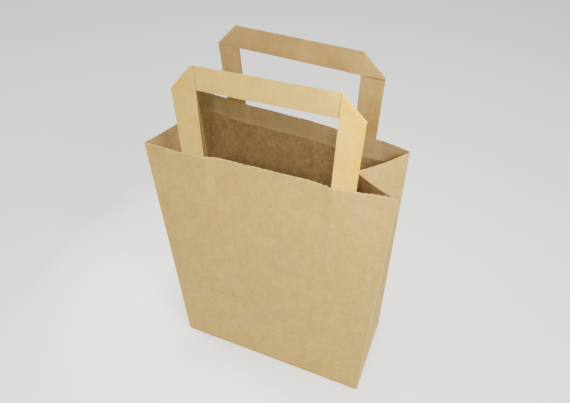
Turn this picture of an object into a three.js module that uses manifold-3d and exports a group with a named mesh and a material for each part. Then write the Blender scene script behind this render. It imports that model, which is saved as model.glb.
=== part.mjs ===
// A small kraft paper carrier bag: one gusseted, block-bottom bag of thin paper,
// two flat tape handles glued inside the mouth, and a paper patch over each handle's feet.
// Millimetres, +Z up, +X across the width, front panel towards -Y, origin under the bag's centre.

import * as THREE from 'three';
import { mergeVertices } from 'three/addons/utils/BufferGeometryUtils.js';
import Module from 'manifold-3d';

const wasm = await Module();
wasm.setup();

// Paper bag, as folded
const bagWidth = 180;
const bagDepth = 81;
const bagHeight = 234;
const paper = 0.15;
const flapLap = 20;
const toothPitch = 4.3;
const toothDepth = 0.7;

// The mouth as it stands open: how far the front corners have moved from above the base corners,
// how far each gusset's centre fold is pushed in, and how much each side line is turned
const frontLeftShift = { x: -1.9, y: -5.4 };
const frontRightShift = { x: -2.3, y: 7.7 };
const leftTuck = 10;
const rightTuck = 29.5;
const leftTurn = 0.052;
const rightTurn = 0.091;

// Soft shape of the two large panels at the mouth
const frontBow = 1.4;
const backBow = 0.7;
const bendOut = 4.8;
const bendFromCorner = 27;
const bendRounding = 0.3;

// Handles, each one tape folded over at two corners
const handleSpan = 124;
const handleRise = 66.5;
const tapeWidth = 17;
const tapeThickness = 0.6;
const tapeGlued = 15;
const foldPress = 0.03;
const frontHandleOffset = 0.6;
const backHandleOffset = 1.1;
const frontHandleLeans = { left: -0.014, right: 0.052 };
const backHandleLeans = { left: 0.14, right: 0.092 };

// Patches glued over the handles' feet
const patchHeight = 17;
const patchInset = 12;
const patchBelowRim = 0.4;
const patchRamp = 2.5;
const glueGap = 0.2;

// Mesh steps
const rimBand = 1.2;
const panelStep = 9;
const bagRows = 16;
const handleStep = 6;

const mix = (a, b, t) => a + (b - a) * t;
const mixPoints = (a, b, t) => new THREE.Vector3().lerpVectors(a, b, t);

// Evenly spaced stops from a to b, no further apart than step
function stops(a, b, step) {
  const count = Math.max(1, Math.ceil((b - a) / step));
  return Array.from({ length: count + 1 }, (_, i) => mix(a, b, i / count));
}

// Base corners, and the mouth corners above them
const floorOfWalls = 2 * paper;
const corner = (x, y, z) => new THREE.Vector3((x * bagWidth) / 2, (y * bagDepth) / 2, z);
const baseFrontLeft = corner(-1, -1, floorOfWalls);
const baseFrontRight = corner(1, -1, floorOfWalls);
const baseBackRight = corner(1, 1, floorOfWalls);
const baseBackLeft = corner(-1, 1, floorOfWalls);
const apexLeft = corner(-1, 0, floorOfWalls + bagDepth / 2);
const apexRight = corner(1, 0, floorOfWalls + bagDepth / 2);

const topFrontLeft = corner(-1, -1, bagHeight).add({ ...frontLeftShift, z: 0 });
const topFrontRight = corner(1, -1, bagHeight).add({ ...frontRightShift, z: 0 });

// A gusset's two halves keep their width, so its tuck sets where the back corner
// and the top of the centre fold come to lie
function gussetMouth(frontCorner, tuck, turn, inwards) {
  const half = bagDepth / 2;
  const reach = Math.sqrt(half * half - tuck * tuck);
  const along = new THREE.Vector3(-Math.sin(turn), Math.cos(turn), 0);
  const across = new THREE.Vector3(along.y, -along.x, 0).multiplyScalar(inwards);
  const backCorner = frontCorner.clone().addScaledVector(along, 2 * reach);
  const centre = frontCorner.clone().addScaledVector(along, reach).addScaledVector(across, tuck);
  const foldLength = bagHeight - floorOfWalls - half;
  centre.z = floorOfWalls + half + Math.sqrt(foldLength * foldLength - tuck * tuck);
  return { backCorner, centre };
}

const leftMouth = gussetMouth(topFrontLeft, leftTuck, leftTurn, 1);
const rightMouth = gussetMouth(topFrontRight, rightTuck, rightTurn, -1);

const front = {
  out: -1,
  bow: frontBow,
  bend: 0,
  baseLeft: baseFrontLeft,
  baseRight: baseFrontRight,
  topLeft: topFrontLeft,
  topRight: topFrontRight,
};
const back = {
  out: 1,
  bow: backBow,
  bend: bendOut,
  baseLeft: baseBackLeft,
  baseRight: baseBackRight,
  topLeft: leftMouth.backCorner,
  topRight: rightMouth.backCorner,
};

// A point on a large panel's outer face. across runs from -1 at its left crease to 1 at its
// right one, up from 0 at the base to 1 at the mouth. The bow and bend grow towards the mouth.
function panelPoint(panel, across, up) {
  const share = (across + 1) / 2;
  const left = mixPoints(panel.baseLeft, panel.topLeft, up);
  const right = mixPoints(panel.baseRight, panel.topRight, up);
  const point = mixPoints(left, right, share);
  const bendAt = 1 - bendFromCorner / bagWidth;
  const rise = Math.min(share / bendAt, (1 - share) / (1 - bendAt));
  const bend = mix(rise, Math.sin((rise * Math.PI) / 2), bendRounding);
  const bulge = panel.bend * bend - panel.bow * 4 * share * (1 - share);
  point.y += panel.out * bulge * up ** 1.5;
  return point;
}

// The direction from a large panel's outer face into the bag
function panelInwards(panel, across, up) {
  const step = 0.01;
  const sideways = panelPoint(panel, across + step, up).sub(panelPoint(panel, across - step, up));
  const upwards = panelPoint(panel, across, up + step).sub(panelPoint(panel, across, up - step));
  return upwards.cross(sideways).normalize().multiplyScalar(-panel.out);
}

// A closed mesh from points and triangles, turned so that its faces point out
function closedMesh(points, triangles) {
  let volume = 0;
  for (const [a, b, c] of triangles) {
    volume += points[a].dot(new THREE.Vector3().crossVectors(points[b], points[c]));
  }
  const index = triangles.flatMap(([a, b, c]) => (volume < 0 ? [a, c, b] : [a, b, c]));
  const geometry = new THREE.BufferGeometry().setFromPoints(points);
  geometry.setIndex(index);
  return geometry;
}

function toManifold(geometry) {
  const merged = mergeVertices(geometry, 1e-5);
  return new wasm.Manifold(new wasm.Mesh({
    numProp: 3,
    vertProperties: new Float32Array(merged.attributes.position.array),
    triVerts: new Uint32Array(merged.index.array),
  }));
}

function fromManifold(solid) {
  const mesh = solid.getMesh();
  const geometry = new THREE.BufferGeometry();
  geometry.setAttribute('position', new THREE.BufferAttribute(mesh.vertProperties, 3));
  geometry.setIndex(new THREE.BufferAttribute(mesh.triVerts, 1));
  return geometry;
}

function join(geometries) {
  return fromManifold(geometries.map(toManifold).reduce((whole, solid) => whole.add(solid)));
}

// The bag's outline in one row, anticlockwise from the front left crease and seen from above.
// Each stretch has a whole number of cells, and the rim cuts each cell into finer steps.
const panelCells = Math.round(bagWidth / panelStep);
const gussetCells = Math.round(bagDepth / 2 / panelStep);

function outline(up, finer, dip) {
  const points = [];
  const stretch = (cells, place) => {
    for (let i = 0; i < cells * finer; i += 1) {
      const point = place(i / (cells * finer));
      point.z -= dip(i);
      points.push(point);
    }
  };
  const fold = (apex, mouth) => mixPoints(apex, mouth.centre, up);
  const rightFold = fold(apexRight, rightMouth);
  const leftFold = fold(apexLeft, leftMouth);
  stretch(panelCells, (t) => panelPoint(front, 2 * t - 1, up));
  stretch(gussetCells, (t) => mixPoints(panelPoint(front, 1, up), rightFold, t));
  stretch(gussetCells, (t) => mixPoints(rightFold, panelPoint(back, 1, up), t));
  stretch(panelCells, (t) => panelPoint(back, 1 - 2 * t, up));
  stretch(gussetCells, (t) => mixPoints(panelPoint(back, -1, up), leftFold, t));
  stretch(gussetCells, (t) => mixPoints(leftFold, panelPoint(front, -1, up), t));
  return points;
}

// The outer face of the paper: rows up to the rim's teeth, the upright triangle that the diagonal
// folds leave at the foot of each gusset, and the floor. Its open edge is the rim.
function paperFace() {
  const points = [];
  const triangles = [];
  const add = (list) => list.map((point) => points.push(point) - 1);
  const cellTeeth = Math.max(1, Math.round(bagWidth / toothPitch / panelCells));
  const finer = 2 * cellTeeth;
  const rimFoot = 1 - (toothDepth + rimBand) / bagHeight;

  const rows = [];
  for (let row = 0; row <= bagRows; row += 1) {
    rows.push(add(outline((row / bagRows) * rimFoot, 1, () => 0)));
  }
  const rim = add(outline(1, finer, (i) => (i % 2 === 0 ? toothDepth : 0)));
  const count = rows[0].length;

  for (let row = 0; row < bagRows; row += 1) {
    for (let i = 0; i < count; i += 1) {
      const next = (i + 1) % count;
      triangles.push([rows[row][i], rows[row][next], rows[row + 1][next]]);
      triangles.push([rows[row][i], rows[row + 1][next], rows[row + 1][i]]);
    }
  }
  const last = rows[bagRows];
  for (let i = 0; i < count; i += 1) {
    const next = (i + 1) % count;
    for (let j = 0; j < finer; j += 1) {
      const foot = j < cellTeeth ? last[i] : last[next];
      triangles.push([foot, rim[(i * finer + j + 1) % rim.length], rim[i * finer + j]]);
    }
    triangles.push([last[i], last[next], rim[i * finer + cellTeeth]]);
  }

  const floor = [...rows[0]];
  const foot = (from, cells) => {
    for (let i = from + 1; i < from + cells; i += 1) {
      const above = points[rows[0][i]];
      [floor[i]] = add([new THREE.Vector3(above.x, above.y, floorOfWalls)]);
    }
    for (let i = from; i < from + cells; i += 1) {
      const next = (i + 1) % count;
      if (floor[i] !== rows[0][i]) triangles.push([floor[i], rows[0][next], rows[0][i]]);
      if (floor[next] !== rows[0][next]) triangles.push([floor[i], floor[next], rows[0][next]]);
    }
  };
  foot(panelCells, 2 * gussetCells);
  foot(2 * panelCells + 2 * gussetCells, 2 * gussetCells);
  const [middle] = add([new THREE.Vector3(0, 0, floorOfWalls)]);
  floor.forEach((point, i) => triangles.push([middle, floor[(i + 1) % count], point]));
  return { points, triangles, rim };
}

// The paper itself: the outer face, the same face one thickness further in, and the rim between
function paperShell() {
  const { points, triangles, rim } = paperFace();
  const face = new THREE.BufferGeometry().setFromPoints(points);
  face.setIndex(triangles.flat());
  face.computeVertexNormals();
  const normals = face.attributes.normal;
  const inner = points.map((point, i) => {
    const normal = new THREE.Vector3().fromBufferAttribute(normals, i);
    return point.clone().addScaledVector(normal, -paper);
  });
  const shift = points.length;
  const all = [...triangles];
  for (const [a, b, c] of triangles) all.push([a + shift, c + shift, b + shift]);
  rim.forEach((a, i) => {
    const b = rim[(i + 1) % rim.length];
    all.push([a, b, b + shift], [a, b + shift, a + shift]);
  });
  return closedMesh([...points, ...inner], all);
}

// One flap of the block bottom: a trapezoid with 45 degree ends, folded in from one long edge
function bottomFlap(out, lowest) {
  const depth = bagDepth / 2 + flapLap / 2;
  const edge = (out * bagDepth) / 2;
  const shape = new THREE.Shape([
    new THREE.Vector2(-bagWidth / 2, edge),
    new THREE.Vector2(bagWidth / 2, edge),
    new THREE.Vector2(bagWidth / 2 - depth, edge - out * depth),
    new THREE.Vector2(-bagWidth / 2 + depth, edge - out * depth),
  ]);
  const thickness = floorOfWalls + paper / 2 - lowest;
  const flap = new THREE.ExtrudeGeometry(shape, { depth: thickness, bevelEnabled: false });
  flap.translate(0, 0, lowest);
  flap.deleteAttribute('normal');
  flap.deleteAttribute('uv');
  return flap;
}

function bagBody() {
  return join([paperShell(), bottomFlap(front.out, paper), bottomFlap(back.out, 0)]);
}

// A thin solid over a grid: place gives its point at a column, a row and a side,
// side 0 towards the panel and side 1 towards the inside of the bag
function gridSolid(columns, rows, place) {
  const points = [];
  const triangles = [];
  for (const side of [0, 1]) {
    for (const row of rows) {
      for (const column of columns) points.push(place(column, row, side));
    }
  }
  const wide = columns.length;
  const high = rows.length;
  const at = (i, j, side) => side * wide * high + j * wide + i;
  const quad = (a, b, c, d) => triangles.push([a, b, c], [a, c, d]);
  for (let j = 0; j < high - 1; j += 1) {
    for (let i = 0; i < wide - 1; i += 1) {
      quad(at(i, j, 0), at(i + 1, j, 0), at(i + 1, j + 1, 0), at(i, j + 1, 0));
      quad(at(i, j, 1), at(i, j + 1, 1), at(i + 1, j + 1, 1), at(i + 1, j, 1));
    }
  }
  for (let i = 0; i < wide - 1; i += 1) {
    quad(at(i, 0, 0), at(i, 0, 1), at(i + 1, 0, 1), at(i + 1, 0, 0));
    quad(at(i, high - 1, 0), at(i + 1, high - 1, 0), at(i + 1, high - 1, 1), at(i, high - 1, 1));
  }
  for (let j = 0; j < high - 1; j += 1) {
    quad(at(0, j, 0), at(0, j + 1, 0), at(0, j + 1, 1), at(0, j, 1));
    quad(at(wide - 1, j, 0), at(wide - 1, j, 1), at(wide - 1, j + 1, 1), at(wide - 1, j + 1, 0));
  }
  return closedMesh(points, triangles);
}

// A point that lies depth behind a panel's outer face, at x along the panel from its centre and
// z above the base
function behindPanel(panel, x, z, depth) {
  const across = (2 * x) / panel.topLeft.distanceTo(panel.topRight);
  const up = z / bagHeight;
  return panelPoint(panel, across, up).addScaledVector(panelInwards(panel, across, up), depth);
}

// A point of a handle. Below the rim it follows the panel. Above it the handle soon stands
// straight over its two feet, and each leg leans in by its own angle.
function handlePoint(handle, x, z, depth) {
  const { panel, offset, leans } = handle;
  const rise = z - bagHeight;
  if (rise <= 0) return behindPanel(panel, offset + x, z, depth);
  const legAt = (handleSpan - tapeWidth) / 2;
  const leftFoot = behindPanel(panel, offset - legAt, bagHeight, depth);
  const rightFoot = behindPanel(panel, offset + legAt, bagHeight, depth);
  const share = (x + legAt) / (2 * legAt);
  const straight = mixPoints(leftFoot, rightFoot, share);
  const lean = mix(leans.left, leans.right, share);
  const onRim = behindPanel(panel, offset + x, bagHeight, depth);
  const point = straight.lerp(onRim, Math.exp(-rise / tapeWidth));
  point.y -= panel.out * Math.sin(lean) * rise;
  point.z += Math.cos(lean) * rise;
  return point;
}

// A leg runs up beside the panel and ends in the 45 degree corner fold. The grip lies on the
// inner side of both legs and ends in the same two folds.
function handleTape(handle) {
  const inner = handleSpan / 2 - tapeWidth;
  const gripFoot = bagHeight + handleRise - tapeWidth;
  const legDepth = paper + glueGap;
  const gripDepth = legDepth + tapeThickness - foldPress;
  const legRows = [
    ...stops(bagHeight - tapeGlued, bagHeight, handleStep),
    ...stops(bagHeight, gripFoot, handleStep).slice(1),
    gripFoot + tapeWidth,
  ];
  const leg = (side) => gridSolid(stops(0, tapeWidth, handleStep), legRows, (x, z, layer) => {
    const underFold = Math.min(z, gripFoot + tapeWidth - x);
    return handlePoint(handle, side * (inner + x), underFold, legDepth + layer * tapeThickness);
  });
  const gripRows = stops(0, tapeWidth, handleStep);
  const grip = gridSolid(stops(-1, 1, (2 * handleStep) / handleSpan), gripRows, (t, z, layer) => {
    const reach = handleSpan / 2 - z;
    return handlePoint(handle, t * reach, gripFoot + z, gripDepth + layer * tapeThickness);
  });
  return join([leg(-1), leg(1), grip]);
}

// A strip of paper glued to the panel, lifted where it passes over a leg
function footPatch(handle) {
  const { panel, offset } = handle;
  const half = bagWidth / 2 - patchInset;
  const outer = handleSpan / 2 + glueGap;
  const inner = handleSpan / 2 - tapeWidth - glueGap;
  const lift = tapeThickness + glueGap;
  const edges = [-outer - patchRamp, -outer, -inner, -inner + patchRamp]
    .concat([inner - patchRamp, inner, outer, outer + patchRamp])
    .map((x) => x + offset);
  const columns = [...new Set([-half, ...edges, half])]
    .sort((a, b) => a - b)
    .flatMap((x, i, all) => (i === 0 ? [x] : stops(all[i - 1], x, panelStep).slice(1)));
  const legLift = (x) => {
    const away = Math.abs(x - offset);
    const beside = Math.max(inner - away, away - outer, 0);
    return lift * Math.max(0, 1 - beside / patchRamp);
  };
  const top = bagHeight - toothDepth - patchBelowRim;
  const rows = stops(bagHeight - patchHeight, top, handleStep);
  return gridSolid(columns, rows, (x, z, side) => {
    return behindPanel(panel, x, z, paper + glueGap + legLift(x) + side * paper);
  });
}

function paperMesh(name, geometry, color) {
  const shaded = geometry.toNonIndexed();
  shaded.computeVertexNormals();
  const material = new THREE.MeshStandardMaterial({ color, roughness: 0.9, metalness: 0 });
  const mesh = new THREE.Mesh(shaded, material);
  mesh.name = name;
  return mesh;
}

const frontHandle = { panel: front, offset: frontHandleOffset, leans: frontHandleLeans };
const backHandle = { panel: back, offset: backHandleOffset, leans: backHandleLeans };

const bag = new THREE.Group();
bag.add(paperMesh('bag_body', bagBody(), '#c3ac82'));
bag.add(paperMesh('front_handle', handleTape(frontHandle), '#d8c08f'));
bag.add(paperMesh('front_handle_patch', footPatch(frontHandle), '#c0a678'));
bag.add(paperMesh('back_handle', handleTape(backHandle), '#d1b989'));
bag.add(paperMesh('back_handle_patch', footPatch(backHandle), '#c0a678'));

export default bag;
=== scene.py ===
# Small kraft paper bag with two flat folded handles, standing open.
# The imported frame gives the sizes; this script makes the paper, its folds and its finish.

import math

import bpy
from mathutils import Matrix, Vector, noise


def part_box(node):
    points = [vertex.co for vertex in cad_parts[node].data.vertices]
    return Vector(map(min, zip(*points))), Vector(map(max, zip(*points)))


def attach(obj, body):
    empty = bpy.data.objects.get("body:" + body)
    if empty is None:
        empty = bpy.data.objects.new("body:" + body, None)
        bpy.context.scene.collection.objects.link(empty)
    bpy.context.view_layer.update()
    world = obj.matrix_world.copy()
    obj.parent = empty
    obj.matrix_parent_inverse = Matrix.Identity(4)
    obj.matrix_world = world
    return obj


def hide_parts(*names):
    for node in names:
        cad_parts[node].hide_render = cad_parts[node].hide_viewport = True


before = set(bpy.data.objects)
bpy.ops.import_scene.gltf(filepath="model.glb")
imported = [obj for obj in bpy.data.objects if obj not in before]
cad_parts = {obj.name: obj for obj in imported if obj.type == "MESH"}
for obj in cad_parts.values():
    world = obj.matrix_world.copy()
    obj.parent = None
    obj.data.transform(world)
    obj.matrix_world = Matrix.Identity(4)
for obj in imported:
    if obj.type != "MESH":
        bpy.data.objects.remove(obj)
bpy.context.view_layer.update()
print("frame loaded")

mm = 0.001


def mix(a, b, t):
    return a + (b - a) * t


def smooth(edge0, edge1, x):  # 0 below edge0, 1 above edge1
    t = min(1.0, max(0.0, (x - edge0) / (edge1 - edge0)))
    return t * t * (3 - 2 * t)


def ridge(x, centre, width):  # a soft bump, 1 at its centre
    return math.exp(-(((x - centre) / width) ** 2))


def arch(share):  # 0 at both ends, 1 in the middle
    return 4 * share * (1 - share)


def uneven(x, y, seed):  # soft waves about 0, one to each whole number or so
    return noise.noise(Vector((x, y, seed)))


# Sizes of the folded bag, in mm, read from the frame where it has them
footPoints = [v.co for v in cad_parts["bag_body"].data.vertices if v.co.z < 0.4 * mm]
bag = {
    "width": (max(p.x for p in footPoints) - min(p.x for p in footPoints)) / mm,
    "depth": (max(p.y for p in footPoints) - min(p.y for p in footPoints)) / mm,
    "height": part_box("bag_body")[1][2] / mm,
    "paper": 0.15,
    "wallFoot": 0.3,  # the walls stand on two folded layers
    "flapLap": 20,
    "flapFade": 5.0,  # what the crease distance grows to over a flap and over the floor
    "floorFade": 20.0,
    "panelCells": 84,
    "gussetCells": 18,
    "rows": 117,
}
print("bag sizes", {k: round(v, 2) for k, v in bag.items()})

# How the mouth stands open, in mm and radians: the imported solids' way, with small shifts
# of the corners and folds that bring it nearer to the photograph
mouth = {
    "frontLeftShift": (-2.6, -5.2),
    "frontRightShift": (-2.3, 9.3),
    "leftTuck": 10,
    "rightTuck": 29.5,
    "leftTurn": 0.052,
    "rightTurn": 0.091,
    "frontBow": 1.4,
    "backBow": 0.7,
    "bendOut": 4.8,
    "bendFromCorner": 27,
    "bendRounding": 0.3,
    "openPower": 1.5,
    "backLeftShift": (-1.8, 2.2, 0),
    "backRightShift": (0.6, -1.0, 0),
    "leftFoldShift": (-0.3, -1.0, -1.9),
    "rightFoldShift": (-2.4, -2.6, -2.0),
}


def bagCorner(x, y, z):
    return Vector((x * bag["width"] / 2, y * bag["depth"] / 2, z))


def gussetMouth(frontCorner, tuck, turn, inwards):
    # both halves of a gusset keep their width, so the tuck sets the back corner
    half = bag["depth"] / 2
    reach = math.sqrt(half**2 - tuck**2)
    along = Vector((-math.sin(turn), math.cos(turn), 0))
    across = Vector((along.y, -along.x, 0)) * inwards
    backCorner = frontCorner + along * 2 * reach
    centre = frontCorner + along * reach + across * tuck
    foldLength = bag["height"] - bag["wallFoot"] - half
    centre.z = bag["wallFoot"] + half + math.sqrt(foldLength**2 - tuck**2)
    return backCorner, centre


topFrontLeft = bagCorner(-1, -1, bag["height"]) + Vector((*mouth["frontLeftShift"], 0))
topFrontRight = bagCorner(1, -1, bag["height"]) + Vector((*mouth["frontRightShift"], 0))
topBackLeft, leftCentre = gussetMouth(topFrontLeft, mouth["leftTuck"], mouth["leftTurn"], 1)
topBackRight, rightCentre = gussetMouth(topFrontRight, mouth["rightTuck"], mouth["rightTurn"], -1)
topBackLeft += Vector(mouth["backLeftShift"])
topBackRight += Vector(mouth["backRightShift"])
leftCentre += Vector(mouth["leftFoldShift"])
rightCentre += Vector(mouth["rightFoldShift"])
apexLeft = bagCorner(-1, 0, bag["wallFoot"] + bag["depth"] / 2)
apexRight = bagCorner(1, 0, bag["wallFoot"] + bag["depth"] / 2)

front = {
    "name": "front",
    "out": -1,
    "bow": mouth["frontBow"],
    "bend": 0,
    "seed": 3.7,
    "baseLeft": bagCorner(-1, -1, bag["wallFoot"]),
    "baseRight": bagCorner(1, -1, bag["wallFoot"]),
    "topLeft": topFrontLeft,
    "topRight": topFrontRight,
    # seed and bow in mm of its half of the left gusset (-1) and of the right one (1)
    "gussets": {-1: (5.2, 0), 1: (1.1, -2.2)},
    # soft upright ridges: place, lowest and highest point, height and width
    "ridges": [(-38, 110, 200, 0.3, 4), (20, 90, 200, 0.35, 9), (-66, 60, 170, 0.4, 8)],
    # how far the rim stands out or in along its run, pushed about by the stiff feet behind it
    "rimWaves": [
        (-90, 0), (-75, 0.6), (-62, 1.6), (-45, 2.3), (-40.5, 0.1), (-36, -0.3), (-26, 0.2), (-12, 0.8),
        (28, 1.4), (42, 3.1), (47, 4.6), (55, 3.9), (62, 3.0), (68, 2.3), (74, 1.1), (79, 0.6), (84, -0.3),
        (90, 0),
    ],
}
back = {
    "name": "back",
    "out": 1,
    "bow": mouth["backBow"],
    "bend": mouth["bendOut"],
    "seed": 9.2,
    "baseLeft": bagCorner(-1, 1, bag["wallFoot"]),
    "baseRight": bagCorner(1, 1, bag["wallFoot"]),
    "topLeft": topBackLeft,
    "topRight": topBackRight,
    "gussets": {-1: (3.9, 0), 1: (2.3, -1.2)},
    "ridges": [(-20, 120, 200, 0.25, 5), (30, 60, 150, 0.2, 7)],
    "rimWaves": [
        (-90, 0), (-62, -0.9), (-46, -1.6), (-12, -0.5), (8, -0.5), (24, -1.5), (37, -2.6), (48, -2.2),
        (60, -1.0), (72, 0), (90, 0),
    ],
}

# Unevenness of the paper, in mm: how high its forms are, and how wide and tall. It fades near
# the folds and the foot. The rim's waves start at waveFoot, a share of the height.
relief = {
    "slow": 0.9, "slowSize": (44, 72), "quick": 0.2, "quickSize": (13, 21), "quickSeed": 4,
    "gusset": 0.8, "gussetWaves": (1.6, 3.4), "gussetFoot": 0.3, "gussetBow": (0.7, 3),
    "nearFold": 12, "nearFoot": 34, "ridgeRise": 0.6, "ridgeTilt": 0.03,
    "pressed": 0.45, "pressedWidth": 7, "pressedSize": 38, "pressedSeed": 8,
    "pressedMean": 0.55, "pressedSwing": 0.9, "pressedLeast": 0.15,
    "waveFoot": 0.52, "wavePower": 1.6, "step": 0.012,
}


def rimWave(waves, x):
    for (x0, high0), (x1, high1) in zip(waves, waves[1:]):
        if x < x1:
            return mix(high0, high1, smooth(x0, x1, x))
    return waves[-1][1]


def panelRelief(panel, x, z):
    hold = smooth(0, relief["nearFold"], bag["width"] / 2 - abs(x))
    hold *= smooth(0, relief["nearFoot"], z)
    wide, tall = relief["slowSize"]
    high = relief["slow"] * uneven(x / wide, z / tall, panel["seed"])
    wide, tall = relief["quickSize"]
    high += relief["quick"] * uneven(x / wide, z / tall, panel["seed"] + relief["quickSeed"])
    for place, low, top, height, width in panel["ridges"]:
        run = smooth(low, mix(low, top, relief["ridgeRise"]), z)
        high += height * run * ridge(x + (z - top) * relief["ridgeTilt"], place, width)
    # the flattened bag's bottom was folded up over the front and pressed a line into it
    if panel["out"] < 0:
        soft = uneven(x / relief["pressedSize"], 0, panel["seed"] + relief["pressedSeed"])
        clear = max(relief["pressedLeast"], relief["pressedMean"] + relief["pressedSwing"] * soft)
        away = abs(z - bag["depth"]) / relief["pressedWidth"]
        high += relief["pressed"] * clear * math.exp(-away)
    return high * hold


def panelPoint(panel, across, up):
    # across runs from -1 to 1, up from 0 at the base to 1 at the rim
    share = (across + 1) / 2
    x, z = across * bag["width"] / 2, up * bag["height"]
    left = panel["baseLeft"].lerp(panel["topLeft"], up)
    right = panel["baseRight"].lerp(panel["topRight"], up)
    point = left.lerp(right, share)
    bendAt = 1 - mouth["bendFromCorner"] / bag["width"]
    rise = min(share / bendAt, (1 - share) / (1 - bendAt))
    bulge = panel["bend"] * mix(rise, math.sin(rise * math.pi / 2), mouth["bendRounding"])
    bulge -= panel["bow"] * arch(share)
    bulge *= max(0, up) ** mouth["openPower"]
    bulge += panelRelief(panel, x, z)
    run = max(0, up - relief["waveFoot"]) / (1 - relief["waveFoot"])
    bulge += rimWave(panel["rimWaves"], x) * run ** relief["wavePower"]
    point.y += panel["out"] * bulge
    return point


def panelInwards(panel, across, up):
    step = relief["step"]
    sideways = panelPoint(panel, across + step, up) - panelPoint(panel, across - step, up)
    upwards = panelPoint(panel, across, up + step) - panelPoint(panel, across, up - step)
    return upwards.cross(sideways).normalized() * -panel["out"]


def gussetPoint(corner, fold, share, up, seed, bow):
    # one half of a gusset, from its corner crease to its centre fold
    point = corner.lerp(fold, share)
    out = (fold - corner).normalized().cross(Vector((0, 0, 1)))
    bowAcross, bowUp = relief["gussetBow"]
    point += out * bow * arch(share) ** bowAcross * up**bowUp
    wavesAcross, wavesUp = relief["gussetWaves"]
    soft = uneven(share * wavesAcross, up * wavesUp, seed)
    return point + out * arch(share) * smooth(0, relief["gussetFoot"], up) * relief["gusset"] * soft


def meshObject(name, points, faces, smoothFaces=True):
    mesh = bpy.data.meshes.new(name)
    mesh.from_pydata([p * mm for p in points], [], faces)
    mesh.update()
    for polygon in mesh.polygons:
        polygon.use_smooth = smoothFaces
    piece = bpy.data.objects.new(name, mesh)
    bpy.context.scene.collection.objects.link(piece)
    return piece


sharpAngle = math.radians(50)  # folds are sharper than this, and soft forms of the paper aren't


def applyAll(piece):
    # turns the finished piece into a plain mesh, with no modifier left
    graph = bpy.context.evaluated_depsgraph_get()
    finished = bpy.data.meshes.new_from_object(piece.evaluated_get(graph))
    finished.set_sharp_from_angle(angle=sharpAngle)
    piece.modifiers.clear()
    piece.data = finished
    finished.name = piece.name


def floatAttribute(mesh, name, values):
    layer = mesh.attributes.new(name, "FLOAT", "POINT")
    layer.data.foreach_set("value", values)


def linear(hexColour):
    parts = [int(hexColour[i : i + 2], 16) / 255 for i in (1, 3, 5)]
    return [p / 12.92 if p <= 0.04045 else ((p + 0.055) / 1.055) ** 2.4 for p in parts] + [1]


def addNode(tree, kind, inputs=None, **settings):
    node = tree.nodes.new(kind)
    for name, value in settings.items():
        setattr(node, name, value)
    for socket, value in (inputs or {}).items():
        if isinstance(value, bpy.types.NodeSocket):
            tree.links.new(value, node.inputs[socket])
        else:
            node.inputs[socket].default_value = value
    return node


def mathNode(tree, kind, a, b=0.0, c=0.0):
    return addNode(tree, "ShaderNodeMath", {0: a, 1: b, 2: c}, operation=kind).outputs[0]


def rangeNode(tree, value, reach, ends):
    # as value runs over reach, the result runs over ends and stays within them
    inputs = {0: value, 1: reach[0], 2: reach[1], 3: ends[0], 4: ends[1]}
    return addNode(tree, "ShaderNodeMapRange", inputs).outputs[0]


def blendNode(tree, share, colour, hexColour):
    inputs = {0: share, 6: colour, 7: linear(hexColour)}
    return addNode(tree, "ShaderNodeMix", inputs, data_type="RGBA").outputs[2]


def attributeNode(tree, name):
    return addNode(tree, "ShaderNodeAttribute", attribute_name=name).outputs["Fac"]


def paperPattern(tree, place, form):
    width, length, detail, seed = form
    stretch = (1 / mm / width, 1 / mm / width, 1 / mm / length)
    inputs = {0: place, "Location": (seed, seed, seed), "Scale": stretch}
    stretched = addNode(tree, "ShaderNodeMapping", inputs).outputs[0]
    inputs = {"Vector": stretched, "Scale": 1.0, "Detail": detail, "Roughness": 0.6}
    return addNode(tree, "ShaderNodeTexNoise", inputs).outputs["Fac"]


def addTapeMarks(tree, look, colour):
    # edges of the folded plies show through as faint lines along the tape
    across = attributeNode(tree, "tapeAcross")
    for lineAt, strength in look["plyLines"]:
        away = mathNode(tree, "ABSOLUTE", mathNode(tree, "SUBTRACT", across, lineAt))
        line = rangeNode(tree, away, (0.0, look["plyWidth"]), (strength, 0.0))
        colour = blendNode(tree, line, colour, look["dark"])
    # the thin shadow where one layer of the tape ends on the other
    beside = attributeNode(tree, "besideLap")
    line = rangeNode(tree, beside, (0.0, look["lapWidth"]), (look["lapLine"], 0.0))
    onLap = mathNode(tree, "GREATER_THAN", beside, look["lapFrom"])
    colour = blendNode(tree, mathNode(tree, "MULTIPLY", line, onLap), colour, look["lapShade"])
    # painted light: the end of the tape, the front handle's right leg, is painted paler and warmer where
    # it catches the light
    along = attributeNode(tree, "tapeAlong")
    litValue = rangeNode(tree, along, look["paintedLightReach"], (1.0, look["paintedLightEnd"]))
    litSaturation = rangeNode(tree, along, look["paintedLightReach"], (1.0, look["paintedWarmEnd"]))
    shift = {"Saturation": litSaturation, "Value": litValue, "Color": colour}
    return addNode(tree, "ShaderNodeHueSaturation", shift).outputs[0]


def addSheetShading(tree, look, colour, place):
    # painted shade: the line pressed into the front is painted darker, as the shade in its groove
    pressed = mathNode(tree, "MULTIPLY", attributeNode(tree, "pressedLine"), look["pressed"])
    colour = blendNode(tree, pressed, colour, look["pressedShade"])
    # painted light: the sheet is painted a little lighter to the right and towards the mouth, where more
    # light falls
    sides = addNode(tree, "ShaderNodeSeparateXYZ", {0: place}).outputs
    value = mathNode(tree, "MULTIPLY_ADD", sides[0], look["paintedLightRight"], look["paintedLightBase"])
    value = mathNode(tree, "MULTIPLY_ADD", sides[2], look["paintedLightUp"], value)
    return addNode(tree, "ShaderNodeHueSaturation", {"Value": value, "Color": colour}).outputs[0]


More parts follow.
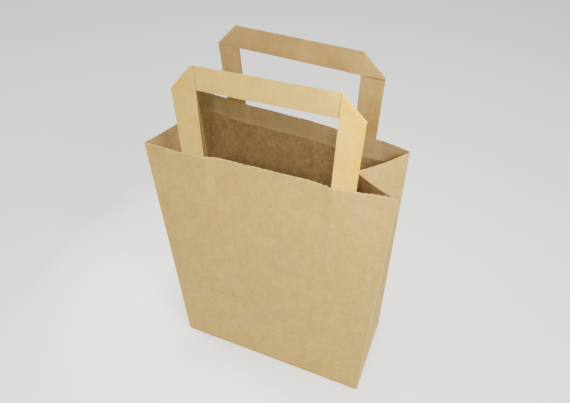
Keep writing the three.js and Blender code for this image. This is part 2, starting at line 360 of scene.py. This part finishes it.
def paperMaterial(name, look):
    # Kraft paper: long brown fibres, cloudy where they felted unevenly, with fine streaks
    # along the web's run and specks of darker fibre. Dull, with a faint calendered gloss.
    material = bpy.data.materials.new(name)
    material.use_nodes = True
    tree = material.node_tree
    tree.nodes.clear()
    place = addNode(tree, "ShaderNodeTexCoord").outputs["Object"]
    kinds = ("cloud", "mottle", "streak", "fibre")
    forms = {kind: paperPattern(tree, place, look[kind]) for kind in kinds}
    tone = 0.5
    for kind in kinds:
        amount = look[kind + "Amount"]
        part = mathNode(tree, "MULTIPLY_ADD", forms[kind], amount, -0.5 * amount)
        tone = mathNode(tree, "ADD", tone, part)
    ramp = addNode(tree, "ShaderNodeValToRGB", {0: tone})
    ramp.color_ramp.elements[0].color = linear(look["dark"])
    ramp.color_ramp.elements[1].color = linear(look["light"])
    middle = ramp.color_ramp.elements.new(0.5)
    middle.color = linear(look["middle"])

    # some patches of the sheet are pinker
    blushes = paperPattern(tree, place, look["blushForm"])
    pinkness = rangeNode(tree, blushes, look["blushReach"], (0.0, look["blushAmount"]))
    colour = blendNode(tree, pinkness, ramp.outputs[0], look["blush"])
    if "plyLines" in look:
        colour = addTapeMarks(tree, look, colour)
    if "pressed" in look:
        colour = addSheetShading(tree, look, colour, place)

    # folds and edges are paler, partly rubbed and partly a painted highlight where they catch the light:
    # creaseDistance is in mm
    crease = attributeNode(tree, "creaseDistance")
    wornAndLitEdge = rangeNode(tree, crease, (0.0, look["paleEdgeReach"]), (look["wearAndHighlight"], 0.0))
    patchy = mathNode(tree, "MULTIPLY_ADD", forms["mottle"], *look["paleEdgePatches"])
    colour = blendNode(tree, mathNode(tree, "MULTIPLY", wornAndLitEdge, patchy), colour, look["wornAndLitEdge"])

    height = 0.0
    for kind, share in look["heights"]:
        height = mathNode(tree, "MULTIPLY_ADD", forms[kind], share, height)
    bumpInputs = {"Height": height, "Strength": look["bump"], "Distance": look["bumpHigh"] * mm}
    bump = addNode(tree, "ShaderNodeBump", bumpInputs).outputs[0]
    # thin paper lets some light through, warmer on the way
    surface = addNode(tree, "ShaderNodeBsdfPrincipled", {
        "Base Color": colour,
        "Normal": bump,
        "Roughness": look["roughness"],
        "IOR": 1.5,
        "Specular IOR Level": look["gloss"],
        "Subsurface Weight": look["through"],
        "Subsurface Radius": look["throughColour"],
        "Subsurface Scale": look["throughReach"] * mm,
    })
    addNode(tree, "ShaderNodeOutputMaterial", {0: surface.outputs[0]})
    return material


# Forms of the paper are given as width and length in mm, detail and seed
outerLook = {
    "cloud": (11, 16.5, 3, 1.3), "cloudAmount": 0.75,
    "mottle": (3, 3.9, 2, 5.1), "mottleAmount": 0.8,
    "streak": (1.3, 26, 2, 8.7), "streakAmount": 0.2,
    "fibre": (0.9, 3.2, 2, 2.9), "fibreAmount": 0.45,
    "blush": "#bd9765", "blushAmount": 0.2, "blushForm": (15, 24, 2, 6.6), "blushReach": (0.42, 0.68),
    "dark": "#a2823b", "middle": "#b89748", "light": "#ccac58",
    "wornAndLitEdge": "#e2c682", "wearAndHighlight": 0.55, "paleEdgeReach": 1.3, "paleEdgePatches": (1.6, 0.2),
    "heights": [("cloud", 0.5), ("fibre", 0.35), ("streak", 0.25)],
    "bump": 0.35, "bumpHigh": 0.6, "roughness": 0.72, "gloss": 0.25,
    "through": 0.7, "throughColour": (1.0, 0.9, 0.75), "throughReach": 1.0,
}
# the front and back get a painted light, lighter to the right and upwards, and painted shade in the
# pressed line
wallLook = dict(
    outerLook, pressed=0.4, pressedShade="#94733f", paintedLightRight=0.52, paintedLightUp=0.5, paintedLightBase=0.905,
)
# the inner face is painted far darker than the outer, partly the rougher side of the paper and partly
# painted shade for the inside of the bag
innerShadedLook = dict(
    outerLook, cloud=(5, 7.5, 3, 1.3), cloudAmount=0.9, mottle=(2.4, 3.12, 2, 5.1), mottleAmount=1.2,
    fibreAmount=0.5, blush="#88663f", blushAmount=0.3,
    dark="#5b472c", middle="#735c39", light="#8a724a", wornAndLitEdge="#907347", wearAndHighlight=0.15, paleEdgeReach=2.2,
    bump=0.6, roughness=0.9, gloss=0.2,
)
# painted shade: the cut edge is painted darker than the sheet, to hold back the light it catches
shadedEdgeLook = dict(outerLook, dark="#8f7440", middle="#a3874d", light="#b4985b", bump=0.2, through=0.0)
# for the tape: places and strengths of its ply lines, and the share of its length where its end, painted
# lighter as lit, begins
tapeLook = dict(
    outerLook, cloud=(7, 10.5, 3, 1.3), cloudAmount=0.8, mottleAmount=0.5, streakAmount=0.35,
    dark="#ad8c36", middle="#c09f41", light="#ceae52", wornAndLitEdge="#ccae56", roughness=0.66,
    blush="#c4a15c", blushAmount=0.3, through=0.0, plyLines=[(13.0, 0.5), (15.2, 0.4)], plyWidth=0.4,
    lapLine=0.8, lapFrom=-0.05, lapWidth=0.7, lapShade="#6b5428",
    paintedLightEnd=1.42, paintedWarmEnd=1.1, paintedLightReach=(0.66, 0.72),
)
# painted shade: the back tape is a darker copy of the front tape, standing in for the shade the back
# handle is in
shadedBackTapeLook = dict(
    tapeLook, dark="#876c36", middle="#967b43", light="#a48951", wornAndLitEdge="#a48951",
    lapShade="#4f3e1e", paintedLightEnd=1.0, paintedWarmEnd=1.0,
)
# the patch's paler lower edge is partly its cut edge and partly a painted highlight
patchLook = dict(
    innerShadedLook, mottleAmount=0.35, cloudAmount=0.4, bump=0.3,
    dark="#9b7c4b", middle="#ab8b5a", light="#bd9c69", wornAndLitEdge="#bf9d6a", wearAndHighlight=0.6, paleEdgeReach=6,
)

kraftOuter = paperMaterial("kraftPaperOuter", wallLook)
kraftInnerShaded = paperMaterial("kraftPaperInnerShaded", innerShadedLook)
kraftCutEdgeShaded = paperMaterial("kraftPaperCutEdgeShaded", shadedEdgeLook)
kraftTape = paperMaterial("kraftHandleTape", tapeLook)
kraftBackTapeShaded = paperMaterial("kraftHandleTapeBackShaded", shadedBackTapeLook)
kraftPatch = paperMaterial("kraftPatchPaper", patchLook)
print("materials made")


# The rim's teeth: depth in mm, mesh steps from one to the next, the share of the depth on the
# sides behind the front one, how uneven they are, and how much less the rim there is rubbed and painted
# paler as a highlight
rim = {
    "toothDepth": 0.7, "toothSteps": 2.0, "behind": 0.45,
    "mean": 0.8, "swing": 1.3, "size": 4, "seed": 2.2, "lessPaleBehind": 0.9,
}


# The bag's paper
def gussetRow(panel, side, fold, up):
    # from the panel's corner to the gusset's fold, or from the fold to the corner
    corner = panelPoint(panel, side, up)
    seed, bow = panel["gussets"][side]
    shares = [i / bag["gussetCells"] for i in range(bag["gussetCells"])]
    if side * panel["out"] > 0:
        shares = [1 - share for share in shares]
    return [gussetPoint(corner, fold, share, up, seed, bow) for share in shares]


def bagRow(up):
    # one row round the bag from the front left crease, seen from above anticlockwise,
    # with each point's distance along it from the nearest crease
    width, half = bag["width"], bag["depth"] / 2
    panelCells, gussetCells = bag["panelCells"], bag["gussetCells"]
    rightFold = apexRight.lerp(rightCentre, up)
    leftFold = apexLeft.lerp(leftCentre, up)
    points = [panelPoint(front, 2 * i / panelCells - 1, up) for i in range(panelCells)]
    points += gussetRow(front, 1, rightFold, up) + gussetRow(back, 1, rightFold, up)
    points += [panelPoint(back, 1 - 2 * i / panelCells, up) for i in range(panelCells)]
    points += gussetRow(back, -1, leftFold, up) + gussetRow(front, -1, leftFold, up)
    creaseDistance = []
    for cells, length in [(panelCells, width), (gussetCells, half), (gussetCells, half)] * 2:
        for i in range(cells):
            creaseDistance.append(min(i, cells - i) * length / cells)
    return points, creaseDistance


# The edge of the flattened bag's bottom, pressed into the front as a line painted darker as shade
# in its groove, in mm. The front panel reaches back by baseReach at its foot and by rimReach more at the
# rim.
pressedGroove = {
    "width": 2.2, "fromCorner": 14, "size": 30, "row": 3.1, "seed": 0, "mean": 0.75, "swing": 0.8,
    "baseReach": 2, "rimReach": 6,
}


def pressedLine(point):
    reach = pressedGroove["baseReach"] + pressedGroove["rimReach"] * point.z / bag["height"]
    if point.y > reach - bag["depth"] / 2:
        return 0.0
    away = abs(point.z - bag["depth"]) / pressedGroove["width"]
    edge = smooth(0, pressedGroove["fromCorner"], bag["width"] / 2 - abs(point.x))
    soft = uneven(point.x / pressedGroove["size"], pressedGroove["row"], pressedGroove["seed"])
    return max(0, 1 - away) * edge * (pressedGroove["mean"] + pressedGroove["swing"] * soft)


def bottomFlap(points, faces, distances, out, lowest):
    # a trapezoid with 45 degree ends, folded in from one long edge
    depth = bag["depth"] / 2 + bag["flapLap"] / 2
    half = bag["width"] / 2
    start = len(points)
    for z in (lowest, bag["wallFoot"]):
        for x, y in [(-half, 0), (half, 0), (half - depth, depth), (depth - half, depth)]:
            points.append(Vector((x, out * (bag["depth"] / 2 - y), z)))
            distances.append(0.0 if y == 0 else bag["flapFade"])
    a, b, c, d, e, f, g, h = range(start, start + 8)
    sides = [(a, b, c, d), (h, g, f, e), (a, e, f, b), (b, f, g, c), (c, g, h, d), (d, h, e, a)]
    faces += sides if out > 0 else [side[::-1] for side in sides]


def addFloor(points, faces, distances, foot):
    # below each gusset's diagonal folds an upright triangle stands on the base's short edge
    floor = list(foot)
    count = len(foot)
    panelCells, gussetCells = bag["panelCells"], bag["gussetCells"]
    for start in (panelCells, 2 * panelCells + 2 * gussetCells):
        for i in range(start + 1, start + 2 * gussetCells):
            above = points[foot[i]]
            floor[i] = len(points)
            points.append(Vector((above.x, above.y, bag["wallFoot"])))
            distances.append(0.0)
        for i in range(start, start + 2 * gussetCells):
            j = (i + 1) % count
            corners = [floor[i], floor[j], foot[j], foot[i]]
            faces.append(tuple(dict.fromkeys(corners)))
    middle = len(points)
    points.append(Vector((0, 0, bag["wallFoot"])))
    distances.append(bag["floorFade"])
    for i in range(count):
        faces.append((middle, floor[(i + 1) % count], floor[i]))


def makeBagMesh():
    points, faces, distances, rows = [], [], [], []
    for row in range(bag["rows"] + 1):
        ring, creaseDistance = bagRow(row / bag["rows"])
        rows.append(range(len(points), len(points) + len(ring)))
        points += ring
        fromEnd = min(row, bag["rows"] - row) * bag["height"] / bag["rows"]
        behind = rim["lessPaleBehind"] if row > bag["rows"] / 2 else 0
        for i, away in enumerate(creaseDistance):
            distances.append(min(fromEnd + (0 if i <= bag["panelCells"] else behind), away))
    for lower, upper in zip(rows, rows[1:]):
        for i in range(len(lower)):
            j = (i + 1) % len(lower)
            faces.append((lower[i], lower[j], upper[j], upper[i]))
    addFloor(points, faces, distances, rows[0])

    piece = meshObject("bagPaper", points, faces)
    floatAttribute(piece.data, "creaseDistance", distances)
    floatAttribute(piece.data, "pressedLine", [pressedLine(point) for point in points])
    rimRun = [0.0] * len(points)
    rimShare = [0.0] * len(points)
    for i, point in enumerate(rows[-1]):
        rimRun[point] = float(i)
        tooth = 1 if i <= bag["panelCells"] else rim["behind"]
        rimShare[point] = tooth * (rim["mean"] + rim["swing"] * uneven(i / rim["size"], 0, rim["seed"]))
    floatAttribute(piece.data, "rimRun", rimRun)
    floatAttribute(piece.data, "rimShare", rimShare)
    return piece


def pinkedRimTree():
    # lowers every other point of the rim, which leaves the saw-cut teeth
    tree = bpy.data.node_groups.new("pinkedRim", "GeometryNodeTree")
    face = tree.interface
    face.new_socket("Geometry", in_out="INPUT", socket_type="NodeSocketGeometry")
    face.new_socket("Tooth Steps", in_out="INPUT", socket_type="NodeSocketFloat")
    face.new_socket("Tooth Depth", in_out="INPUT", socket_type="NodeSocketFloat")
    face.new_socket("Paper", in_out="INPUT", socket_type="NodeSocketMaterial")
    face.new_socket("Geometry", in_out="OUTPUT", socket_type="NodeSocketGeometry")
    start = addNode(tree, "NodeGroupInput").outputs
    named = "GeometryNodeInputNamedAttribute"
    run = addNode(tree, named, {"Name": "rimRun"}, data_type="FLOAT").outputs[0]
    share = addNode(tree, named, {"Name": "rimShare"}, data_type="FLOAT").outputs[0]
    half = mathNode(tree, "DIVIDE", start["Tooth Steps"], 2.0)
    dip = mathNode(tree, "DIVIDE", mathNode(tree, "PINGPONG", run, half), half)
    dip = mathNode(tree, "MULTIPLY", dip, share)
    dip = mathNode(tree, "MULTIPLY", dip, start["Tooth Depth"])
    offset = addNode(tree, "ShaderNodeCombineXYZ", {"Z": mathNode(tree, "MULTIPLY", dip, -1.0)})
    lowered = {"Geometry": start["Geometry"], "Offset": offset.outputs[0]}
    cut = addNode(tree, "GeometryNodeSetPosition", lowered)
    real = addNode(tree, "GeometryNodeRealizeInstances", {0: cut.outputs[0]})
    papered = {"Geometry": real.outputs[0], "Material": start["Paper"]}
    dressed = addNode(tree, "GeometryNodeSetMaterial", papered)
    addNode(tree, "NodeGroupOutput", {0: dressed.outputs[0]})
    return tree


def geometryNodes(piece, tree, values):
    modifier = piece.modifiers.new(tree.name, "NODES")
    modifier.node_group = tree
    sockets = {item.name: item.identifier for item in tree.interface.items_tree if item.in_out == "INPUT"}
    for name, value in values.items():
        modifier[sockets[name]] = value


def thicken(piece, thickness, offset, inside=0, edge=0):
    wall = piece.modifiers.new("wall", "SOLIDIFY")
    wall.thickness = thickness * mm
    wall.offset = offset
    wall.use_even_offset = False
    wall.material_offset = inside
    wall.material_offset_rim = edge


def addFlaps(piece):
    points, faces, distances = [], [], []
    bottomFlap(points, faces, distances, front["out"], bag["paper"])
    bottomFlap(points, faces, distances, back["out"], 0)
    flaps = meshObject("bottomFlaps", points, faces, smoothFaces=False)
    floatAttribute(flaps.data, "creaseDistance", distances)
    flaps.data.materials.append(kraftOuter)
    with bpy.context.temp_override(active_object=piece, selected_editable_objects=[piece, flaps]):
        bpy.ops.object.join()


def makeBag():
    piece = makeBagMesh()
    teeth = {"Tooth Steps": rim["toothSteps"], "Tooth Depth": rim["toothDepth"] * mm}
    geometryNodes(piece, pinkedRimTree(), {**teeth, "Paper": kraftOuter})
    applyAll(piece)
    piece.data.materials.append(kraftInnerShaded)
    piece.data.materials.append(kraftCutEdgeShaded)
    thicken(piece, bag["paper"], -1, inside=1, edge=2)
    applyAll(piece)
    addFlaps(piece)
    return piece


bagPaper = makeBag()
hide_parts("bag_body")
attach(bagPaper, "root")
print("bag made", len(bagPaper.data.polygons), "faces")


# Handles, in mm; clearOfPaleEdge is the crease distance of a tape, which has no folds rubbed and
# painted paler, and offLap the value that stands for no lap nearby
handle = {
    "rise": 66.5, "thick": 0.6, "glued": 15, "gap": 0.2, "layerGap": 0.05,
    "columns": 10, "step": 2.0, "foldTurns": (0.25, 0.5, 0.75),
    "uneven": 0.3, "unevenSize": (34, 26), "stiff": 14, "slantFrom": 10,
    "clearOfPaleEdge": 9.0, "offLap": -9.0,
}
frontHandle = {
    "name": "front", "panel": front, "paper": kraftTape, "seed": 1.7, "span": 123.6, "tape": 16.4,
    "offset": 1.2, "leans": (-0.004, 0.036), "slants": (2.3, -0.6), "spread": 0.8, "patchTop": 1.1,
}
backHandle = {
    "name": "back", "panel": back, "paper": kraftBackTapeShaded, "seed": 6.3, "span": 124.6, "tape": 17,
    "offset": 2.0, "leans": (0.127, 0.062), "slants": (0.3, -1.0), "spread": 0.0, "patchTop": 0.5,
}


def behindPanel(panel, x, z, depth):
    across = 2 * x / (panel["topRight"] - panel["topLeft"]).length
    up = z / bag["height"]
    return panelPoint(panel, across, up) + panelInwards(panel, across, up) * depth


def handlePoint(which, x, z, depth):
    # below the rim it follows the panel, above it stands in a slightly twisted plane
    panel, offset = which["panel"], which["offset"]
    rise = z - bag["height"]
    if rise <= 0:
        return behindPanel(panel, offset + x, z, depth)
    legAt = (which["span"] - which["tape"]) / 2
    leftFoot = behindPanel(panel, offset - legAt, bag["height"], depth)
    rightFoot = behindPanel(panel, offset + legAt, bag["height"], depth)
    share = (x + legAt) / (2 * legAt)
    straight = leftFoot.lerp(rightFoot, share)
    onRim = behindPanel(panel, offset + x, bag["height"], depth)
    point = straight.lerp(onRim, math.exp(-rise / which["tape"]))
    lean = mix(*which["leans"], share)
    wide, tall = handle["unevenSize"]
    soft = uneven(x / wide, rise / tall, which["seed"]) * smooth(0, handle["stiff"], rise)
    point.y -= panel["out"] * (math.sin(lean) * rise + handle["uneven"] * soft)
    point.z += math.cos(lean) * rise
    return point


def gripHeight(which):  # of the grip's lower edge
    return bag["height"] + handle["rise"] - which["tape"]


def tapeStrip(which):
    # one tape: up a leg, folded over at 45 degrees, across as the grip, and down again, as rows
    # of (x, z, depth), each across the tape from the leg's inner edge to its outer
    tape, outer = which["tape"], which["span"] / 2
    inner = outer - tape
    legFoot, gripFoot = bag["height"] - handle["glued"], gripHeight(which)
    legDepth = bag["paper"] + handle["gap"] + handle["thick"] / 2
    layer = handle["thick"] + handle["layerGap"]
    widths = [i / handle["columns"] for i in range(handle["columns"] + 1)]
    legRows = round((gripFoot - legFoot) / handle["step"])
    strip = []
    for row in range(legRows + 1):
        cells = []
        for width in widths:
            top = gripFoot + tape * (1 - width)
            cells.append((-inner - tape * width, mix(legFoot, top, row / legRows), legDepth))
        strip.append(cells)
    for turn in handle["foldTurns"]:
        angle = math.pi * turn
        out = math.sin(angle) * layer / 2 / math.sqrt(2)
        deep = legDepth + (1 - math.cos(angle)) * layer / 2
        strip.append([(x - out, z + out, deep) for x, z, depth in strip[legRows]])
    gripRows = round(outer / handle["step"])
    for row in range(gripRows + 1):
        cells = []
        for width in widths:
            left = (1 - width) * tape - outer
            cells.append((mix(left, 0, row / gripRows), gripFoot + (1 - width) * tape, legDepth + layer))
        strip.append(cells)
    strip += [[(-x, z, depth) for x, z, depth in cells] for cells in strip[-2::-1]]
    return strip, legRows


def slantStrip(which, strip):
    # a fold that isn't quite at 45 degrees lowers its outer corner, and the left leg stands astride
    tape, outer = which["tape"], which["span"] / 2
    gripFoot = gripHeight(which)
    for cells in strip:
        for i, (x, z, depth) in enumerate(cells):
            if x < 0:
                x *= 1 + which["spread"] / outer * max(0, z - bag["height"]) / handle["rise"]
            slant = which["slants"][0 if x < 0 else 1] * smooth(outer - tape, outer, abs(x))
            above = smooth(bag["height"] + handle["slantFrom"], gripFoot, z)
            cells[i] = (x, z - slant * above * i / handle["columns"], depth)


def gridFaces(rows, columns):
    wide = columns + 1
    faces = []
    for row in range(rows):
        for i in range(columns):
            a = row * wide + i
            faces.append((a, a + 1, a + 1 + wide, a + wide))
    return faces


def makeHandle(which):
    strip, legRows = tapeStrip(which)
    slantStrip(which, strip)
    inner = which["span"] / 2 - which["tape"]
    gripFoot = gripHeight(which)
    points = [handlePoint(which, x, z, depth) for cells in strip for x, z, depth in cells]
    lastRow, columns = len(strip) - 1, handle["columns"]
    piece = meshObject(which["name"] + "HandleTape", points, gridFaces(lastRow, columns))
    # where a point is on the tape, and how far a point of a leg is below the grip, at half
    # its size, or one of the grip beside a leg
    across, along, beside = [], [], []
    for row, cells in enumerate(strip):
        onLeg = min(row, lastRow - row) <= legRows
        for i, (x, z, depth) in enumerate(cells):
            across.append(i / columns * which["tape"])
            along.append(row / lastRow)
            beside.append((gripFoot - z) / 2 if onLeg else inner - abs(x))
    floatAttribute(piece.data, "tapeAcross", across)
    floatAttribute(piece.data, "tapeAlong", along)
    floatAttribute(piece.data, "besideLap", beside)
    floatAttribute(piece.data, "creaseDistance", [handle["clearOfPaleEdge"]] * len(points))
    piece.data.materials.append(which["paper"])
    thicken(piece, handle["thick"], 0)
    applyAll(piece)
    # the dark line beside a lap is only on the side that the folded tape turns to itself
    lap = piece.data.attributes["besideLap"].data
    for vertex in piece.data.vertices:
        onFirstSide = vertex.index < len(points)
        if onFirstSide == (which["panel"]["out"] > 0):
            lap[vertex.index].value = handle["offLap"]
    return piece


# The paper strips over the handles' feet, in mm, with the inset in mesh cells
patch = {
    "high": 18, "inset": 1, "ramp": 2.5, "thick": 0.08, "gap": 0.02, "legClear": 0.2,
    "curl": 0.01, "curlSize": 17, "curlSeed": 2, "curlMean": 0.5, "curlPower": 3,
}


def makePatch(which):
    # a strip of paper glued over both feet, lifted where it passes over a leg; its mesh follows
    # the wall's, so the two never cross
    panel, offset = which["panel"], which["offset"]
    length = (panel["topRight"] - panel["topLeft"]).length
    legInner = which["span"] / 2 - which["tape"] - patch["legClear"]
    legOuter = which["span"] / 2 + patch["legClear"]
    rowHeight = bag["height"] / bag["rows"]
    rows = round(patch["high"] / rowHeight)
    columns = bag["panelCells"] - 2 * patch["inset"]
    points, distances = [], []
    for row in range(rows + 1):
        z = bag["height"] - (rows - row) * rowHeight
        z = min(z, bag["height"] - which["patchTop"])
        for i in range(columns + 1):
            x = length * ((i + patch["inset"]) / bag["panelCells"] - 0.5)
            away = abs(x - offset)
            beside = max(legInner - away, away - legOuter, 0)
            lift = (handle["thick"] + handle["gap"] * 2) * (1 - smooth(0, patch["ramp"], beside))
            loose = patch["curlMean"] + uneven(x / patch["curlSize"], 0, which["seed"] + patch["curlSeed"])
            lift += patch["curl"] * max(0, loose) * (1 - row / rows) ** patch["curlPower"]
            depth = bag["paper"] + patch["gap"] + lift + patch["thick"] / 2
            points.append(behindPanel(panel, x, z, depth))
            distances.append(row * rowHeight)
    piece = meshObject(which["name"] + "FootPatch", points, gridFaces(rows, columns))
    floatAttribute(piece.data, "creaseDistance", distances)
    piece.data.materials.append(kraftPatch)
    thicken(piece, patch["thick"], 0)
    applyAll(piece)
    return piece


for which, tapeNode, patchNode in (
    (frontHandle, "front_handle", "front_handle_patch"),
    (backHandle, "back_handle", "back_handle_patch"),
):
    tapePiece = makeHandle(which)
    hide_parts(tapeNode)
    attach(tapePiece, "root")
    patchPiece = makePatch(which)
    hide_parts(patchNode)
    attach(patchPiece, "root")
print("handles and patches made")


# Floor and lights: a light's place, aim and size are in metres, its power in watts. The lens light
# is small and in the lens's direction, as the shadows of the front handle show.
warmWhite = (1, 0.96, 0.9)
stage = {"size": 6.0, "floor": "#fbfbfa", "floorRoughness": 0.9, "world": 0.2}
lights = {
    "lensLight": ((0.367, -0.931, 0.912), (0, 0, 0.2), 0.1, 7.4, warmWhite),
    "nearLight": ((0.19, -0.17, 0.42), (0.03, 0, 0.2), 0.1, 1.45, warmWhite),
    "sideLight": ((-0.3, 0.0, 0.21), (0, 0, 0.23), 0.1, 1.15, (1, 0.98, 0.94)),
    "keyLight": ((0.35, -0.35, 0.5), (0, 0, 0.2), 0.25, 0.8, warmWhite),
    "topLight": ((0, 0, 2.2), (0, 0, 0), 0.8, 64.0, (1, 1, 1)),
}


def makeFloor():
    half = stage["size"] / 2 / mm
    corners = [Vector((x * half, y * half, 0)) for x, y in [(-1, -1), (1, -1), (1, 1), (-1, 1)]]
    floor = meshObject("floor", corners, [(0, 1, 2, 3)], smoothFaces=False)
    material = bpy.data.materials.new("matteStudioFloor")
    material.use_nodes = True
    surface = material.node_tree.nodes["Principled BSDF"]
    surface.inputs["Base Color"].default_value = linear(stage["floor"])
    surface.inputs["Roughness"].default_value = stage["floorRoughness"]
    floor.data.materials.append(material)


def areaLight(name, place, aim, size, power, colour):
    light = bpy.data.lights.new(name, "AREA")
    light.size = size
    light.energy = power
    light.color = colour
    lamp = bpy.data.objects.new(name, light)
    lamp.location = place
    lamp.rotation_euler = (Vector(aim) - Vector(place)).to_track_quat("-Z", "Y").to_euler()
    bpy.context.scene.collection.objects.link(lamp)


def makeLights():
    for name, (place, aim, size, power, colour) in lights.items():
        areaLight(name, place, aim, size, power, colour)
    world = bpy.data.worlds.new("paleStudio")
    world.use_nodes = True
    world.node_tree.nodes["Background"].inputs[0].default_value = (1, 1, 1, 1)
    world.node_tree.nodes["Background"].inputs[1].default_value = stage["world"]
    bpy.context.scene.world = world


# The photograph's view: place in mm, the directions of its right and of its line of sight,
# the focal length and the lens shift
view = {
    "place": (108.6, -274.6, 439.5),
    "right": (0.93287, 0.35705, 0.04761),
    "forward": (-0.22842, 0.68859, -0.68823),
    "sensor": 36,
    "lens": 31.05,
    "shift": (-0.0416, 0.0258),
}


def makeCamera():
    right, forward = Vector(view["right"]), Vector(view["forward"])
    up = right.cross(forward)
    turn = Matrix((right, up, -forward)).transposed().to_4x4()
    lens = bpy.data.cameras.new("photoView")
    lens.sensor_width, lens.lens = view["sensor"], view["lens"]
    lens.shift_x, lens.shift_y = view["shift"]
    camera = bpy.data.objects.new("photoView", lens)
    camera.matrix_world = Matrix.Translation(Vector(view["place"]) * mm) @ turn
    bpy.context.scene.collection.objects.link(camera)
    bpy.context.scene.camera = camera


makeFloor()
makeLights()
makeCamera()
print("floor, light and camera made")
